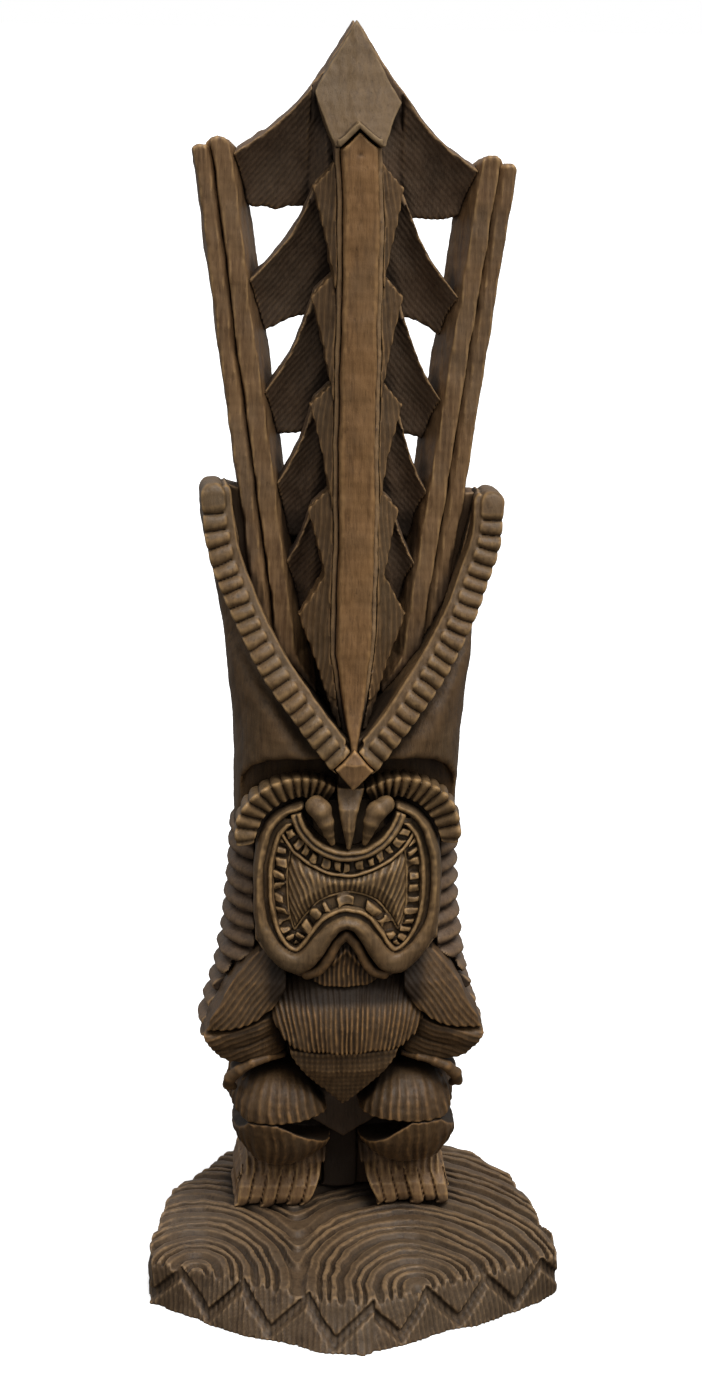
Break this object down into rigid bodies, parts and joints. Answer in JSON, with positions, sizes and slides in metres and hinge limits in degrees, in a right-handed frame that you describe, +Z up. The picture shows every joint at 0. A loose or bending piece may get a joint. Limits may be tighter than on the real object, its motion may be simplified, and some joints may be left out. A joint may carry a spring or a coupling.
{
  "type": "tiki figure",
  "caption": "Carved wooden standing tiki figure with a broad grimacing mouth and a tall open finned headdress, on a plinth with carved growth rings.",
  "frame": {"origin": "centre of the bounding box on the underside of the base", "axes": "+Z up along the figure, -Y towards the front of the face, +X to the viewer's right"},
  "size_m": [0.0999, 0.0979, 0.3],
  "materials": {
    "wood_lit": "satin, waxed, worn golden on the raised edges",
    "wood_mid": "satin, waxed, with fine vertical grain",
    "wood_deep": "matt, dark stain left in the hollows",
    "peg_wood": "bare dowel wood"
  },
  "bodies": {
    "root": {"chest": "wood_lit", "lower_lip": "wood_lit", "upper_lip": "wood_lit", "nose": "wood_lit", "band_keystone": "wood_lit", "keel_bar": "wood_lit", "finial": "wood_lit", "brow_band_left": "wood_lit", "rail_inner_left": "wood_lit", "rail_outer_left": "wood_lit", "brow_band_right": "wood_lit", "rail_inner_right": "wood_lit", "rail_outer_right": "wood_lit", "base_plinth": "wood_mid", "belly": "wood_mid", "chin": "wood_mid", "lower_teeth": "wood_mid", "upper_teeth": "wood_mid", "head_block": "wood_mid", "foot_left": "wood_mid", "calf_left": "wood_mid", "thigh_left": "wood_mid", "upper_arm_left": "wood_mid", "forearm_left": "wood_mid", "hand_left": "wood_mid", "brow_fan_left": "wood_mid", "keel_scales_left": "wood_mid", "foot_right": "wood_mid", "calf_right": "wood_mid", "thigh_right": "wood_mid", "upper_arm_right": "wood_mid", "forearm_right": "wood_mid", "hand_right": "wood_mid", "brow_fan_right": "wood_mid", "keel_scales_right": "wood_mid", "hip_block": "wood_deep", "face_block": "wood_deep", "tongue": "wood_deep", "headdress_spine": "wood_deep", "mane_left": "wood_deep", "barb_left_1": "wood_deep", "barb_left_2": "wood_deep", "barb_left_3": "wood_deep", "barb_left_4": "wood_deep", "barb_left_5": "wood_deep", "mane_right": "wood_deep", "barb_right_1": "wood_deep", "barb_right_2": "wood_deep", "barb_right_3": "wood_deep", "barb_right_4": "wood_deep", "barb_right_5": "wood_deep", "ankle_peg_left": "peg_wood", "ankle_peg_right": "peg_wood", "neck_peg": "peg_wood", "crest_peg": "peg_wood"}
  },
  "joints": []
}
